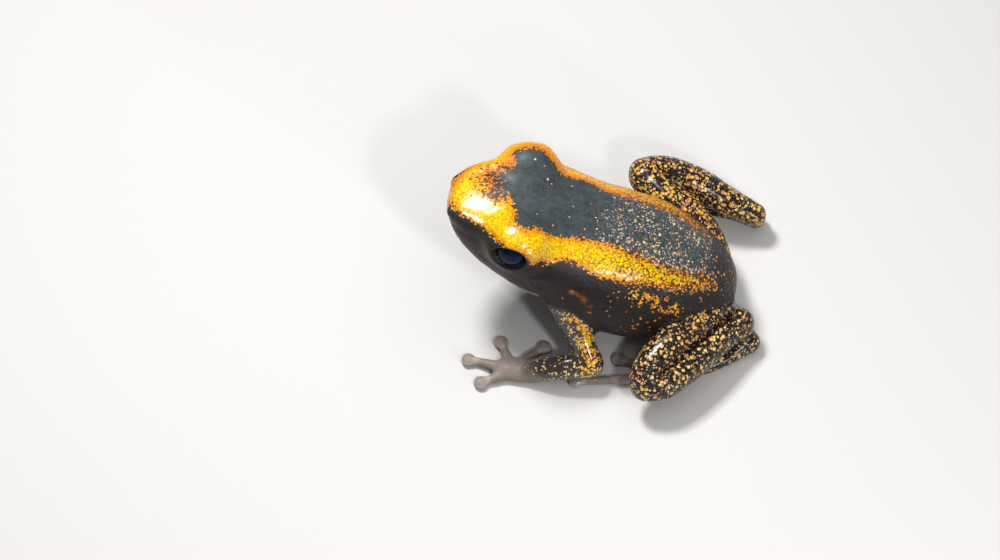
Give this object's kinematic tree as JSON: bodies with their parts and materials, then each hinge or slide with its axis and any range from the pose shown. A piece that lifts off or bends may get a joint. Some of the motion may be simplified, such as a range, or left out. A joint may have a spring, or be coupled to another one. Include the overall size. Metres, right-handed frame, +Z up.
{
  "type": "golden poison frog figure",
  "caption": "Life-size still model of a young striped golden poison frog, sitting with its head raised and its hind legs folded.",
  "frame": {"origin": "centre of the bounding box at the bottom, on the floor under the frog", "axes": "-X towards the snout, +X towards the rump, -Y to the frog's left, +Y to its right, +Z up"},
  "size_m": [0.0204, 0.0176, 0.0117],
  "materials": {
    "skin_black": "wet black skin with gold stripes",
    "skin_speckled": "wet black skin with gold speckles",
    "digit_skin": "thin grey-brown skin",
    "eye": "wet and glossy, almost black"
  },
  "bodies": {
    "root": {"head": "skin_black", "trunk": "skin_black", "left_eye": "eye", "right_eye": "eye", "left_upper_arm": "skin_speckled", "left_forearm": "skin_speckled", "left_hand": "digit_skin", "right_upper_arm": "skin_speckled", "right_forearm": "skin_speckled", "right_hand": "digit_skin", "left_thigh": "skin_speckled", "left_shank": "skin_speckled", "left_tarsus": "digit_skin", "left_foot": "digit_skin", "right_thigh": "skin_speckled", "right_shank": "skin_speckled", "right_tarsus": "digit_skin", "right_foot": "digit_skin"}
  },
  "joints": []
}
